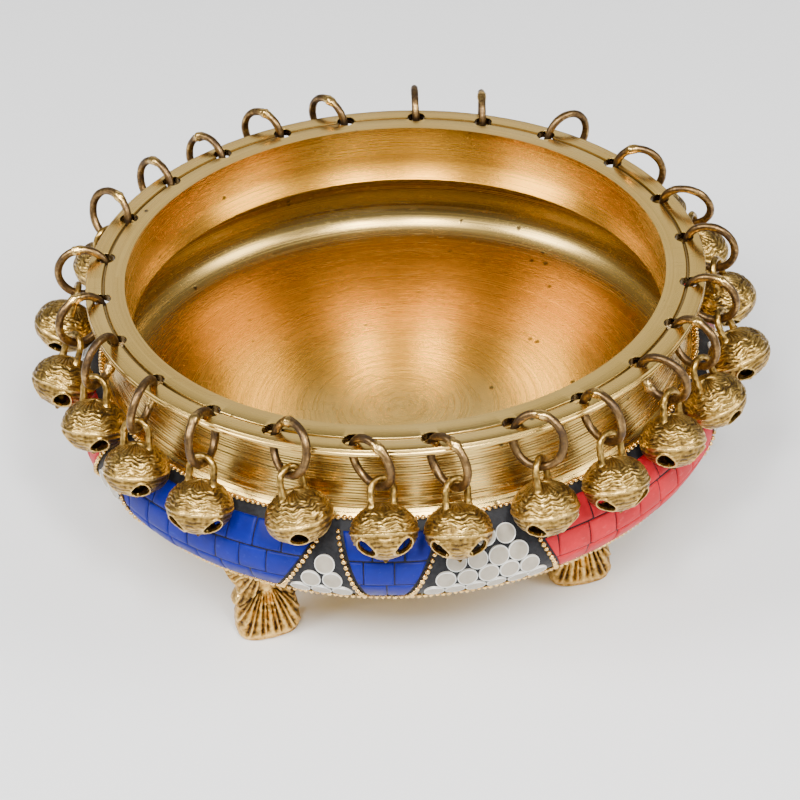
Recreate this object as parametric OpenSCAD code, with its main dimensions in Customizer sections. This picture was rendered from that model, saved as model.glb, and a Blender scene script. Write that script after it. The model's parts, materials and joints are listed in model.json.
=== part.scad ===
// Brass urli bowl: a shallow turned bowl on four cast feet, with a mosaic coat on its
// belly and jingle bells that hang on wire rings through holes in its rim.

/* [Bowl] */
// Height of the rim's top face above the feet's soles
rim_h = 92; // [90:0.5:96]
// Outer radius of the flange
flange_r = 101.4; // [101:0.1:102.5]
// Thickness of the flange
flange_t = 2.6; // [2.2:0.1:2.8]
// Inner radius of the neck
mouth_r = 88.3; // [86:0.1:88.5]
// Outer radius of the neck just under the flange
neck_r = 91.8; // [90.5:0.1:92]
// Depth of the neck, from the rim to the shoulder where the mosaic starts
neck_d = 26.5; // [26:0.1:27]
// Depth of the inside, from the rim to the middle of the floor
inside_d = 58; // [56:0.5:60]
// Depth of the underside's middle below the rim
under_d = 64; // [63:0.5:66]

/* [Mosaic coat] */
// Largest radius of the mosaic coat
belly_r = 109; // [108.8:0.1:109.2]
// Depth of the largest radius below the rim
belly_d = 44; // [43.5:0.1:44.5]
// Depth of the coat's lower edge below the rim
coat_end_d = 56; // [55.5:0.1:56.5]
// Thickness of the tiles
tile_t = 1.6; // [1.2:0.1:1.8]
// Gap of lac between two tiles
joint_w = 0.35; // [0.2:0.05:0.6]
// Radius of a pale disc
disc_r = 2.85; // [2.6:0.05:3.2]
// Radius of the wire bead rows
bead_r = 0.8; // [0.6:0.1:0.9]

/* [Feet] */
// Radius of the circle the soles stand on, more or less
foot_ring_r = 80; // [78:0.5:82]
// Width of a sole
sole_w = 18; // [15:0.5:20]
// Width of a foot over its two ears
ear_w = 27; // [24:0.5:29]

/* [Rings] */
// Number of bells and rings
bell_count = 24; // [20:1:24]
// Radius of the circle of holes in the flange
hole_ring_r = 96.2; // [96:0.1:96.4]
// Radius of a hole
hole_r = 3; // [2.9:0.05:3.1]
// Radius of a ring to the middle of its wire
ring_r = 8.2; // [8.1:0.05:8.3]
// Radius of the ring's wire
ring_wire_r = 1.3; // [1.2:0.05:1.35]

/* [Bells] */
// Radius of a bell at its seam
bell_r = 10.2; // [9.6:0.1:10.3]
// Height of a bell's upper half
bell_up = 8.2; // [7.6:0.1:8.4]
// Height of a bell's lower half
bell_down = 8.8; // [8:0.1:9]
// Wall thickness of a bell
bell_wall = 1; // [0.8:0.1:1.2]
// Distance from the ring's wire to the middle of the bell
bell_hang = 13.2; // [13:0.1:13.6]
// Half width of the bell's loop, to the middle of its wire
loop_r = 4.2; // [4:0.1:4.4]
// Radius of the loop's wire
loop_wire_r = 1.05; // [0.95:0.05:1.1]
// Radius of the pellet inside a bell
pellet_r = 2.8; // [2.4:0.1:3]
// Gap between the ring's wire and the bell's loop
loop_gap = 0.3; // [0.2:0.05:0.4]

/* [Hidden] */
rings = [for (i = [1:bell_count]) str("ring_", i)];
bells = [for (i = [1:bell_count]) str("bell_", i)];

// Hole positions: an even spacing, and how far each hand-drilled hole is off it, in degrees.
first_hole_az = -83;
hole_off = [-2, -2, -2.5, -2, -2.5, -3, -2, -2, 0, 3, 2.5, 2,
            2, 1, 0.5, 0, 1, 1, 0.5, 0.5, 1, 1, -1, -1];
// Turn of each ring's plane away from the radius, then its lean to one side, in degrees.
ring_yaw = [35.5, 43.5, 6, 4.5, -17.5, -13, -26.5, -37.5, -54, -25.5, 20, 6,
            35, 30, 12, -8, -19.5, 10, 26.5, 35.5, 29, 12.5, 59, 52];
ring_lean = [-1, -17, 0.5, 9, -1, 1.5, 3, 15.5, -2, -0.5, 0, 0,
             0, 2.5, 8.5, 9, 15.5, 5, 2.5, -6.5, -11.5, 6.5, -17.5, 2];
// How far each ring has swung out round the flange's web in its own plane, in degrees.
ring_turn = [40, 58, 75.5, 67.5, 56, 41, 76, 83, 80.5, 69.5, 75, 75,
             75, 74, 48.5, 57, 85, 50, 48, 78.5, 60, 44, 85.5, 35];
// Turn of each bell in its ring's plane, then its swing across that plane, in degrees.
bell_turn = [23, 12, 21, 14, 19, 28.5, 13.5, 10, 17, 16, 16, 17,
             14.5, 15.5, 22, 17, 9, 22, 28.5, 20.5, 18.5, 22.5, 19, 26.5];
bell_swing = [-17.5, 2.5, -8, -24.5, 10, -6, 4, -8, 19.5, 7.5, -5.5, -1.5,
              -9, -10.5, -15.5, -4, -12, -0.5, 5.5, 11.5, 14, -3.5, 14, -23.5];

// Panels of the coat, anticlockwise from azimuth -190: kind, and the width in degrees at the shoulder.
// "R" and "B" are brick panels in red and blue, "d" is a field of discs, "t" a small triangle of discs.
panels_from = -190;
panels = [["d", 16], ["R", 22], ["t", 2], ["B", 46], ["t", 2], ["B", 18], ["d", 14], ["R", 52],
          ["d", 18], ["R", 22], ["t", 3], ["B", 52], ["d", 18], ["B", 22], ["t", 3], ["R", 50]];
course_d = [29.6, 37.4, 45.8, 53.6];
// How much wider a disc panel grows on each side from the shoulder to the coat's lower edge, in degrees.
flare = 7;

// Where each foot stands: how far outside that circle, its azimuth, and how far its face is turned.
foot_out = [5, -4, 0, 0];
foot_az = [-123.5, -42.5, 50, 146];
foot_yaw = [50, -35, 6, -8];

function ellipse_r(d, r0, r1, d1, up, down) =
    r0 + (r1 - r0) * sqrt(max(0, 1 - pow((d - d1) / (d < d1 ? up : down), 2)));
// Radius of the mosaic's outer surface, and of the brass under it, at a depth below the rim.
function coat_r(d) = ellipse_r(d, 80, belly_r, belly_d, 21.6, 17.4);
function brass_r(d) = ellipse_r(d, 78, belly_r - 3.6, belly_d - 1, 22.85, 19.2);
function steps(a, b, n) = [for (i = [0:n]) a + (b - a) * i / n];
function sum_to(v, n) = n <= 0 ? 0 : v[n - 1][1] + sum_to(v, n - 1);
function panel_a(i) = panels_from + sum_to(panels, i);

// Turned profile of the brass bowl, as [radius, depth below the rim].
function bowl_outside() = concat(
    [[mouth_r, 0], [95, 0], [95.2, 0.6], [95.8, 0.6], [96, 0], [flange_r, 0],
     [flange_r, 0.9], [flange_r - 0.4, 1.2], [flange_r, 1.5], [flange_r, flange_t - 0.2],
     [flange_r - 0.5, flange_t], [neck_r + 0.2, flange_t]],
    [for (t = steps(0, 1, 8)) [neck_r + 4.5 * pow(t, 1.6), 3 + (neck_d - 3.5) * t]],
    [for (d = steps(neck_d, coat_end_d, 14)) [brass_r(d), d]],
    [for (t = steps(8, 90, 8)) [96 * cos(t), coat_end_d + (under_d - coat_end_d) * sin(t)]]);
function bowl_inside() = concat(
    [for (t = steps(90, 12, 8)) [92 * cos(t), inside_d - 9 + 9 * sin(t)]],
    [for (t = steps(60, -70, 10)) [90 + 12 * cos(t) + 0.4, 38 + 11.5 * sin(t)]],
    [[mouth_r + 0.4, 21.2], [mouth_r, 20.4]]);

module turned(points) {
    translate([0, 0, rim_h]) rotate_extrude($fn = 180) polygon([for (p = points) [p[0], -p[1]]]);
}

function hole_az(k) = first_hole_az + 360 / bell_count * k + hole_off[k % 24];
function polar(r, a, z) = [r * cos(a), r * sin(a), z];

module bowl() color("goldenrod") difference() {
    turned(concat(bowl_outside(), bowl_inside()));
    for (k = [0:bell_count - 1])
        translate(polar(hole_ring_r, hole_az(k), rim_h - flange_t - 1))
            cylinder(r = hole_r, h = flange_t + 2, $fn = 48);
}

// The lac's surface, under the bricks; bricks and beads lie bed_gap clear of it.
function lac_r(d) = max(coat_r(d) - tile_t, brass_r(d) + 0.5);
bed_gap = 0.1;

// A ring-shaped slab of the coat between two azimuths and two depths, from the lac to the outer surface.
module coat_slab(a0, a1, d0, d1) {
    n = 6;
    rotate([0, 0, a0]) translate([0, 0, rim_h]) rotate_extrude(angle = a1 - a0, $fn = 180)
        polygon(concat([for (d = steps(d0, d1, n)) [coat_r(d), -d]],
                       [for (d = steps(d1, d0, n)) [lac_r(d) + bed_gap, -d]]));
}

// Disc panels grow towards the foot of the coat, and brick panels shrink to match.
function grow(kind, d) = (kind == "R" || kind == "B" ? -1 : 1) * flare * (d - course_d[0]) / 24;
function edge0(i, d) = panel_a(i) - grow(panels[i][0], d);
function edge1(i, d) = panel_a(i) + panels[i][1] + grow(panels[i][0], d);

module lac_bed() color("dimgray") {
    n = 14;
    top = neck_d + 0.4;
    translate([0, 0, rim_h]) rotate_extrude($fn = 180) polygon(concat(
        [for (d = steps(top, coat_end_d, n)) [lac_r(d), -d]],
        [for (d = steps(coat_end_d, top, n)) [brass_r(d) + 0.02, -d]]));
}

// Bricks in three courses; each course starts half a brick along.
module brick_panel(i) {
    brick = 5.4;
    for (c = [0:2]) {
        dm = (course_d[c] + course_d[c + 1]) / 2;
        a0 = edge0(i, dm);
        a1 = edge1(i, dm);
        n = max(1, round((a1 - a0) / brick));
        pitch = (a1 - a0) / (n + (c % 2) / 2);
        gap = joint_w / 2 / belly_r * 57.3;
        for (b = [0:n])
            let (s = a0 + pitch * b, e = min(a1, s + pitch))
                if (e - s > 1)
                    coat_slab(s + gap, e - gap, course_d[c] + joint_w / 2, course_d[c + 1] - joint_w / 2);
    }
}
module brick_panels(kind) for (i = [0:len(panels) - 1]) if (panels[i][0] == kind) brick_panel(i);
module blue_tiles() color("royalblue") brick_panels("B");
module red_tiles() color("crimson") brick_panels("R");

// A disc lies flat on the coat: its axis is the surface's normal at that depth.
function slope(d) = atan2(coat_r(d + 0.2) - coat_r(d - 0.2), 0.4);
module disc_on_coat(a, d) {
    rotate([0, 0, a]) translate([coat_r(d) - 1.1, 0, rim_h - d]) rotate([0, 90 - slope(d), 0])
        cylinder(r = disc_r, h = 0.8, $fn = 32);
}
module white_discs() color("gainsboro")
    for (i = [0:len(panels) - 1]) if (panels[i][0] == "d" || panels[i][0] == "t")
        for (row = [0:2]) {
            d = 34.5 + 6.6 * row;
            w = edge1(i, d) - edge0(i, d) - 4.7;
            n = floor(w / 3.7);
            if (w > -1.5) for (j = [0:max(0, n)])
                disc_on_coat((edge0(i, d) + edge1(i, d)) / 2 + (j - max(0, n) / 2) * 3.7, d);
        }

module bead_rows() color("gold") {
    for (d = [27.6, 55.2])
        translate([0, 0, rim_h]) rotate_extrude($fn = 180) polygon([for (t = steps(-90, 90, 10))
            let (at = d + bead_r * sin(t)) [lac_r(at) + bed_gap + 1.1 * bead_r * cos(t), -at]]);
}

// A foot: a fan-shaped leaf seen from the front, cut to a leg's shape seen from the side.
module foot(n) color("darkgoldenrod") {
    top = rim_h - coat_end_d + 2;
    difference() {
        translate(polar(foot_ring_r + foot_out[n], foot_az[n], 0)) rotate([0, 0, foot_az[n] + foot_yaw[n]]) intersection() {
            rotate([90, 0, 90]) translate([0, 0, -20]) linear_extrude(40) polygon(concat(
                [[-sole_w / 2 + 2, 0], [sole_w / 2 - 2, 0]],
                [for (t = steps(-80, 60, 8)) [sole_w / 2 - 3 + 3.2 * cos(t), 8 + 8 * sin(t)]],
                [[6.4, 19], [8, 21.5]],
                [for (t = steps(-60, 90, 6)) [ear_w / 2 - 5 + 5 * cos(t), 29 + 6 * sin(t)]],
                [[ear_w / 2 - 5, top], [-ear_w / 2 + 5, top]],
                [for (t = steps(90, 240, 6)) [-ear_w / 2 + 5 + 5 * cos(t), 29 + 6 * sin(t)]],
                [[-8, 21.5], [-6.4, 19]],
                [for (t = steps(120, 260, 8)) [-sole_w / 2 + 3 + 3.2 * cos(t), 8 + 8 * sin(t)]]));
            rotate([90, 0, 0]) translate([0, 0, -20]) linear_extrude(40) polygon(concat(
                [[-5, 0], [5, 0]],
                [for (t = steps(-60, 60, 6)) [4 + 1.6 * cos(t), 3.6 + 3.6 * sin(t)]],
                [[3.2, 14], [3.4, 22], [5.5, 30], [8, top], [-9, top], [-7, 28], [-5.4, 18], [-5, 8]]));
        }
        // The foot meets the turned underside of the bowl and the lower bead row.
        turned(concat(
            [[0, 40], [coat_r(54) + 2, 40], [coat_r(54) + 2, coat_end_d + 0.35],
             [brass_r(coat_end_d) + 0.3, coat_end_d + 0.35]],
            [for (t = steps(8, 90, 8)) [96 * cos(t), coat_end_d + bed_gap + (under_d - coat_end_d) * sin(t)]]));
    }
}

// A ring's frame has its origin in its hole: x lies in the ring's plane, y is across it.
web_z = -flange_t / 2;
function edge_s(k) = let (c = cos(ring_yaw[k % 24]))
    -hole_ring_r * c + sqrt(pow(hole_ring_r * c, 2) + pow(flange_r, 2) - pow(hole_ring_r, 2));
function web_s(k) = (hole_r + edge_s(k)) / 2;
function web_half(k) = norm([(edge_s(k) - hole_r) / 2, flange_t / 2 / cos(ring_lean[k % 24])]);
// The ring's inside clears the flange's web by this much as it swings.
web_gap = 0.15;
function ring_reach(k) = ring_r - ring_wire_r - web_gap - web_half(k);
function ring_mid(k) = [web_s(k) + ring_reach(k) * sin(ring_turn[k % 24]), 0,
                        -ring_reach(k) * cos(ring_turn[k % 24])];

module in_ring_frame(k) {
    translate(polar(hole_ring_r, hole_az(k), rim_h + web_z))
        rotate([0, 0, hole_az(k) + ring_yaw[k % 24]]) rotate([ring_lean[k % 24], 0, 0]) children();
}

module ring(k) color("peru") in_ring_frame(k) translate(ring_mid(k)) rotate([90, 0, 0])
    rotate_extrude($fn = 96) translate([ring_r, 0]) circle(r = ring_wire_r, $fn = 32);

// A jingle bell with its origin where the ring's wire passes its loop.
module bell_shell() {
    inner = bell_r - bell_wall;
    // Heights of the posts' feet and of the middle of the loop's arch.
    post_foot = bell_up - 1.6;
    loop_mid = bell_hang + ring_wire_r + loop_gap + loop_wire_r - loop_r;
    difference() {
        union() {
            rotate_extrude($fn = 96) polygon(concat(
                [for (t = steps(90, 5, 10)) [bell_r * cos(t), bell_up * sin(t)]],
                [[bell_r + 0.2, 0.35], [bell_r + 0.2, -0.35]],
                [for (t = steps(-5, -90, 10)) [bell_r * cos(t), bell_down * sin(t)]],
                [for (t = steps(-90, 90, 16)) [inner * cos(t),
                    (t < 0 ? bell_down - bell_wall : bell_up - bell_wall) * sin(t)]]));
            for (side = [-1, 1])
                translate([0, side * loop_r, post_foot])
                    cylinder(r = loop_wire_r, h = loop_mid - post_foot, $fn = 24);
            translate([0, 0, loop_mid]) rotate([90, 0, 90]) rotate_extrude(angle = 180, $fn = 48)
                translate([loop_r, 0]) circle(r = loop_wire_r, $fn = 24);
        }
        for (q = [0:90:270])
            rotate([0, 0, q]) rotate([0, 118, 0]) translate([0, 0, 5]) cylinder(r = 2.4, h = 8, $fn = 32);
    }
}

// The loop rides at the point of the ring that the bell's pull reaches.
module bell(k) color("darkkhaki") in_ring_frame(k) translate(ring_mid(k)) rotate([0, -bell_turn[k % 24], 0])
    translate([0, 0, -ring_r]) rotate([bell_swing[k % 24], 0, 0]) translate([0, 0, -bell_hang]) {
        bell_shell();
        translate([0, 0, -bell_down + bell_wall + pellet_r + 0.1]) sphere(r = pellet_r, $fn = 32);
    }

bowl();
lac_bed();
blue_tiles();
red_tiles();
white_discs();
bead_rows();
foot(0);  // foot_1
foot(1);  // foot_2
foot(2);  // foot_3
foot(3);  // foot_4
for (k = [0:bell_count - 1]) ring(k);
for (k = [0:bell_count - 1]) bell(k);
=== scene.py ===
"""Brass urli bowl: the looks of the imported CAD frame.

Lengths are written in millimetres and scaled to metres when a mesh is built.
"""

import json
import math
import random

import bmesh
import bpy
import numpy as np
from mathutils import Matrix, Vector, noise


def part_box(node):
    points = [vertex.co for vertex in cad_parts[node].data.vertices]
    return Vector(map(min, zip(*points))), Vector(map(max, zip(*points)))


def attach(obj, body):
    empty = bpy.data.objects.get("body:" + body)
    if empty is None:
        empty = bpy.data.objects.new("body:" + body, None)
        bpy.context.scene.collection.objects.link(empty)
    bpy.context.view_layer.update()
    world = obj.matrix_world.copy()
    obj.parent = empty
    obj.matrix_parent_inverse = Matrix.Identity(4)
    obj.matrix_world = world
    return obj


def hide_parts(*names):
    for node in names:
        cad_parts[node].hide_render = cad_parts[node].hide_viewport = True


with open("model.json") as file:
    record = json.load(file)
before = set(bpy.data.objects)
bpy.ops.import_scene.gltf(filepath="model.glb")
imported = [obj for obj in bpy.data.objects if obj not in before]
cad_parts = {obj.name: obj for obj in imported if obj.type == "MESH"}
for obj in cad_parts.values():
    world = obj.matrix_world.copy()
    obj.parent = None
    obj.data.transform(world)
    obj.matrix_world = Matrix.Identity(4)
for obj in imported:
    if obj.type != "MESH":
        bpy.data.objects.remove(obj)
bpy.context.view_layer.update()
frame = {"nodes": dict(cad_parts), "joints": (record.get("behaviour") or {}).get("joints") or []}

MM = 0.001
DEG = math.pi / 180
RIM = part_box("bowl")[1].z / MM
JOINTS = {j["name"]: j for j in frame["joints"]}
BELLS = sum(1 for name in JOINTS if name.startswith("ring_"))

# Turned profile of the bowl and its coat, as radii and depths below the rim.
MOUTH_R, NECK_R, NECK_D = 88.3, 91.8, 26.5
FLANGE_R, FLANGE_T = 101.4, 2.6
NECK_TOP_D, NECK_LENGTH, NECK_FLARE = 3, NECK_D - 3.5, 4.5
GROOVE_R, GROOVE_D = 95.5, 0.75
UNDER_R, UNDER_D, UNDER_DEEP = 96, 56, 8
COAT_TOP, COAT_END = 29.6, 53.6
FOOT_TOP_D = 53.5
MEAN_COAT_R = 108
HOLE_RING_R, HOLE_R = 96.2, 3.0
RING_R, WIRE_R = 8.2, 1.3
BELL_R, BELL_UP, BELL_DOWN, BELL_HANG = 10.2, 8.2, 8.8, 13.2
LOOP_R, LOOP_WIRE = 4.2, 1.05
LOOP_FOOT = 6.6
# Each side opening of a bell: how far its axis points down, and its half width and half height.
OPENING_LOW, OPENING_W, OPENING_H = 29, 2.75, 3.2
# Each foot: radius and azimuth of its middle, and how far its face is turned from facing straight out.
FEET = [(85, -123.5, 50), (76, -42.5, -35), (80, 50, 6), (80, 146, -8)]

# Panels of the coat, anticlockwise: kind, then the azimuth of its first border at the top and at the bottom.
PANELS = [
    ("disc", -190, -197), ("red", -174, -167), ("disc", -152, -159), ("blue", -150, -143),
    ("disc", -104.2, -112.3), ("blue", -101.9, -97.6), ("disc", -84.1, -90.3), ("red", -69.8, -64.2),
    ("disc", -18, -25), ("red", 0, 7), ("disc", 22, 15), ("blue", 25, 32),
    ("disc", 77, 70), ("blue", 95, 102), ("disc", 117, 110), ("red", 120, 127),
]


# ---------------------------------------------------------------- meshes

def build(name, verts, faces, material, sharp=35, weld=False, marks=None):
    """A mesh object from points in millimetres, smooth but for edges sharper than the angle."""
    mesh = bpy.data.meshes.new(name)
    mesh.from_pydata((np.asarray(verts, float) * MM).tolist(), [], [tuple(f) for f in faces])
    if marks is not None:
        mark = mesh.attributes.new("mark", "FLOAT", "POINT")
        mark.data.foreach_set("value", np.asarray(marks, np.float32))
    obj = bpy.data.objects.new(name, mesh)
    bpy.context.scene.collection.objects.link(obj)
    if weld:
        bm = bmesh.new()
        bm.from_mesh(mesh)
        bmesh.ops.remove_doubles(bm, verts=bm.verts, dist=1e-6)
        bmesh.ops.recalc_face_normals(bm, faces=bm.faces)
        bm.to_mesh(mesh)
        bm.free()
    mesh.materials.append(material)
    mesh.shade_smooth()
    mesh.set_sharp_from_angle(angle=sharp * DEG)
    return obj


def apply_modifiers(obj, sharp=35):
    """Replaces the object's mesh by the one its modifiers make."""
    graph = bpy.context.evaluated_depsgraph_get()
    mesh = bpy.data.meshes.new_from_object(obj.evaluated_get(graph), depsgraph=graph)
    obj.modifiers.clear()
    obj.data = mesh
    mesh.shade_smooth()
    mesh.set_sharp_from_angle(angle=sharp * DEG)
    return obj


def polar(r, az, z):
    """A point from its radius, its azimuth in degrees and its height."""
    return np.array([r * math.cos(az * DEG), r * math.sin(az * DEG), z])


def grid_faces(rows, cols, wrap_rows=False, wrap_cols=False):
    """The faces of a grid of points, closed on itself where it wraps."""
    faces = []
    for i in range(rows if wrap_rows else rows - 1):
        for j in range(cols if wrap_cols else cols - 1):
            a, b = i * cols + j, i * cols + (j + 1) % cols
            c, d = ((i + 1) % rows) * cols + (j + 1) % cols, ((i + 1) % rows) * cols + j
            faces.append((a, b, c, d))
    return faces


def lathe(profile, segments, closed=True):
    """Points and faces of a profile of (radius, z) turned round the Z axis."""
    p = np.asarray(profile, float)
    t = np.arange(segments) * 2 * math.pi / segments
    verts = np.stack([np.outer(np.cos(t), p[:, 0]), np.outer(np.sin(t), p[:, 0]),
                      np.outer(np.ones(segments), p[:, 1])], -1).reshape(-1, 3)
    return verts, grid_faces(segments, len(p), True, closed)


def rounded(points, size):
    """The same outline with each corner cut back by size, as far as its edges allow."""
    out, n = [], len(points)
    pts = [np.array(p, float) for p in points]
    for i in range(n):
        a, b, c = pts[i - 1], pts[i], pts[(i + 1) % n]
        la, lc = np.linalg.norm(a - b), np.linalg.norm(c - b)
        if min(la, lc) < 1e-6 or b[0] < 1e-6:
            out.append(b)
            continue
        cut = min(size, 0.4 * la, 0.4 * lc)
        p, q = b + (a - b) / la * cut, b + (c - b) / lc * cut
        for s in (0, 0.33, 0.67, 1):
            out.append((1 - s) ** 2 * p + 2 * s * (1 - s) * b + s * s * q)
    return out


def smooth_curve(points, steps):
    """A curve through the points, rounded between them."""
    p = [np.array(q, float) for q in points]
    p = [2 * p[0] - p[1]] + p + [2 * p[-1] - p[-2]]
    out = []
    for i in range(1, len(p) - 2):
        for k in range(steps):
            t = k / steps
            out.append(0.5 * (2 * p[i] + (p[i + 1] - p[i - 1]) * t
                              + (2 * p[i - 1] - 5 * p[i] + 4 * p[i + 1] - p[i + 2]) * t ** 2
                              + (3 * p[i] - p[i - 1] - 3 * p[i + 1] + p[i + 2]) * t ** 3))
    return out + [p[-2]]


def tube(path, radius, sides=16, closed=False):
    """Points and faces of a round wire along a path; radius is a number or one for each point."""
    path = np.asarray(path, float)
    n = len(path)
    radius = np.broadcast_to(radius, (n,))
    verts, up = [], None
    for i in range(n):
        ahead = path[(i + 1) % n] if closed or i < n - 1 else path[i]
        behind = path[i - 1] if closed or i > 0 else path[i]
        t = (ahead - behind) / np.linalg.norm(ahead - behind)
        if up is None:
            up = np.cross(t, [1, 0, 0]) if abs(t[0]) < 0.8 else np.cross(t, [0, 1, 0])
        up = up - (up @ t) * t
        up /= np.linalg.norm(up)
        side = np.cross(t, up)
        for j in range(sides):
            f = 2 * math.pi * j / sides
            verts.append(path[i] + radius[i] * (math.cos(f) * up + math.sin(f) * side))
    faces = grid_faces(n, sides, closed, True)
    if not closed:
        faces += [tuple(range(sides))[::-1], tuple(range((n - 1) * sides, n * sides))]
    return np.array(verts), faces


def joined(parts):
    """One set of points, faces and marks from several."""
    verts, faces, marks, count = [], [], [], 0
    for v, f, m in parts:
        verts.append(np.asarray(v))
        faces += [tuple(i + count for i in face) for face in f]
        marks.append(np.broadcast_to(m, (len(v),)))
        count += len(v)
    return np.concatenate(verts), faces, np.concatenate(marks)


def lumps(p, size, seed=0.0):
    """Smooth noise from -1 to 1 at a point in millimetres."""
    return noise.noise(Vector((p[0] / size + seed, p[1] / size, p[2] / size)))


# ---------------------------------------------------------------- materials

class Shade:
    """A material being built: each method adds a node and returns its output."""

    def __init__(self, name):
        self.material = bpy.data.materials.new(name)
        self.material.use_nodes = True
        self.tree = self.material.node_tree
        self.bsdf = self.tree.nodes["Principled BSDF"]

    def put(self, socket, value):
        if isinstance(value, bpy.types.NodeSocket):
            self.tree.links.new(value, socket)
        else:
            socket.default_value = value

    def node(self, kind, inputs=(), out=0, **settings):
        n = self.tree.nodes.new(kind)
        for key, value in settings.items():
            setattr(n, key, value)
        for key, value in dict(inputs).items():
            self.put(n.inputs[key], value)
        return n.outputs[out]

    def place(self):
        return self.node("ShaderNodeTexCoord", out=3)

    def mark(self):
        return self.node("ShaderNodeAttribute", out=2, attribute_name="mark")

    def math(self, operation, a, b=0.0):
        return self.node("ShaderNodeMath", {0: a, 1: b}, operation=operation)

    def noise(self, scale, detail=4.0, vector=None, rough=0.55):
        return self.node("ShaderNodeTexNoise", {"Vector": vector or self.place(), "Scale": scale,
                                                "Detail": detail, "Roughness": rough})

    def cells(self, scale, vector=None):
        return self.node("ShaderNodeTexVoronoi", {"Vector": vector or self.place(), "Scale": scale})

    def ramp(self, value, low, high, a=0.0, b=1.0):
        return self.node("ShaderNodeMapRange", {"Value": value, "From Min": low, "From Max": high,
                                                "To Min": a, "To Max": b})

    def mix(self, share, a, b):
        n = self.tree.nodes.new("ShaderNodeMix")
        n.data_type = "RGBA"
        for key, value in ((0, share), (6, a), (7, b)):
            ready = isinstance(value, (bpy.types.NodeSocket, float))
            self.put(n.inputs[key], value if ready else (*value, 1.0))
        return n.outputs[2]

    def bump(self, height, strength, distance, normal=None):
        inputs = {"Height": height, "Strength": strength, "Distance": distance}
        if normal is not None:
            inputs["Normal"] = normal
        return self.node("ShaderNodeBump", inputs)

    def finish(self, **values):
        for key, value in values.items():
            self.put(self.bsdf.inputs[key.replace("_", " ")],
                     (*value, 1.0) if isinstance(value, tuple) else value)
        return self.material


def turned_place(s, across, along):
    """Coordinates that run with the lathe: fine across the cut, long round it."""
    xyz = s.node("ShaderNodeSeparateXYZ", {0: s.place()})
    parts = xyz.node.outputs
    radius = s.node("ShaderNodeVectorMath", {0: s.node("ShaderNodeCombineXYZ", {0: parts[0], 1: parts[1]})},
                    out=1, operation="LENGTH")
    angle = s.math("ARCTAN2", parts[1], parts[0])
    return s.node("ShaderNodeCombineXYZ", {0: s.math("MULTIPLY", radius, across),
                                           1: s.math("MULTIPLY", parts[2], across),
                                           2: s.math("MULTIPLY", angle, along)})


def turned_brass():
    """Satin brass off the lathe: fine rings, faint scratches and small dark pits.

    The mark is painted shade in the holes, under the flange and in the undercut, and dirt darkened further as
    painted shade in the groove and the neck's cuts.
    """
    s = Shade("turned_brass")
    rings = s.noise(1.0, 3.0, turned_place(s, 1500.0, 1.2))
    bands = s.noise(1.0, 2.0, turned_place(s, 300.0, 0.7))
    cloud = s.noise(16.0, 6.0)
    scratch_place = s.node("ShaderNodeMapping", {"Vector": s.place(), "Rotation": (0.0, 0.0, 0.7),
                                                 "Scale": (60.0, 1500.0, 900.0)})
    scratch = s.ramp(s.noise(1.0, 2.0, scratch_place), 0.66, 0.72)
    pits = s.ramp(s.cells(150.0), 0.08, 0.15, 1.0, 0.0)
    pits = s.math("MULTIPLY", pits, s.ramp(s.noise(70.0, 1.0), 0.60, 0.63))
    tone = s.mix(s.ramp(cloud, 0.35, 0.68), (0.59, 0.385, 0.095), (0.68, 0.465, 0.145))
    tone = s.mix(s.ramp(bands, 0.4, 0.75, 0.0, 0.4), tone, (0.43, 0.25, 0.055))
    tone = s.mix(s.math("MULTIPLY", pits, 0.9), tone, (0.05, 0.03, 0.015))
    # painted shade: the mark darkens the holes, the flange's underside, the undercut, the groove and the
    # neck's cuts
    tone = s.mix(s.math("MULTIPLY", s.mark(), 0.92), tone, (0.035, 0.02, 0.01))
    rough = s.ramp(rings, 0.3, 0.75, 0.20, 0.32)
    rough = s.math("ADD", rough, s.math("MULTIPLY", scratch, 0.08))
    normal = s.bump(rings, 0.045, 0.00012)
    normal = s.bump(scratch, 0.06, 0.0001, normal)
    normal = s.bump(pits, 0.30, -0.0002, normal)
    return s.finish(Base_Color=tone, Metallic=1.0, Roughness=rough, Normal=normal, Anisotropic=0.25)


def cast_brass(name, bright, worn, dark, rough_low=0.30, rough_high=0.52, grain=900.0, bump=0.35):
    """Antique cast brass: the mark is 1 on worn ridges and 0 in dark recesses."""
    s = Shade(name)
    fine = s.noise(grain, 4.0)
    cloud = s.noise(170.0, 4.0)
    ridge = s.math("ADD", s.mark(), s.ramp(fine, 0.3, 0.7, -0.20, 0.20))
    ridge = s.math("ADD", ridge, s.ramp(cloud, 0.3, 0.7, -0.16, 0.16))
    tone = s.mix(s.ramp(ridge, 0.10, 0.52), dark, worn)
    tone = s.mix(s.ramp(ridge, 0.50, 0.92), tone, bright)
    rough = s.ramp(ridge, 0.1, 0.9, rough_high, rough_low)
    normal = s.bump(fine, bump, 0.00025)
    normal = s.bump(cloud, bump * 0.6, 0.0005, normal)
    return s.finish(Base_Color=tone, Metallic=s.ramp(ridge, 0.0, 0.3, 0.72, 1.0), Roughness=rough,
                    Normal=normal)


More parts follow.
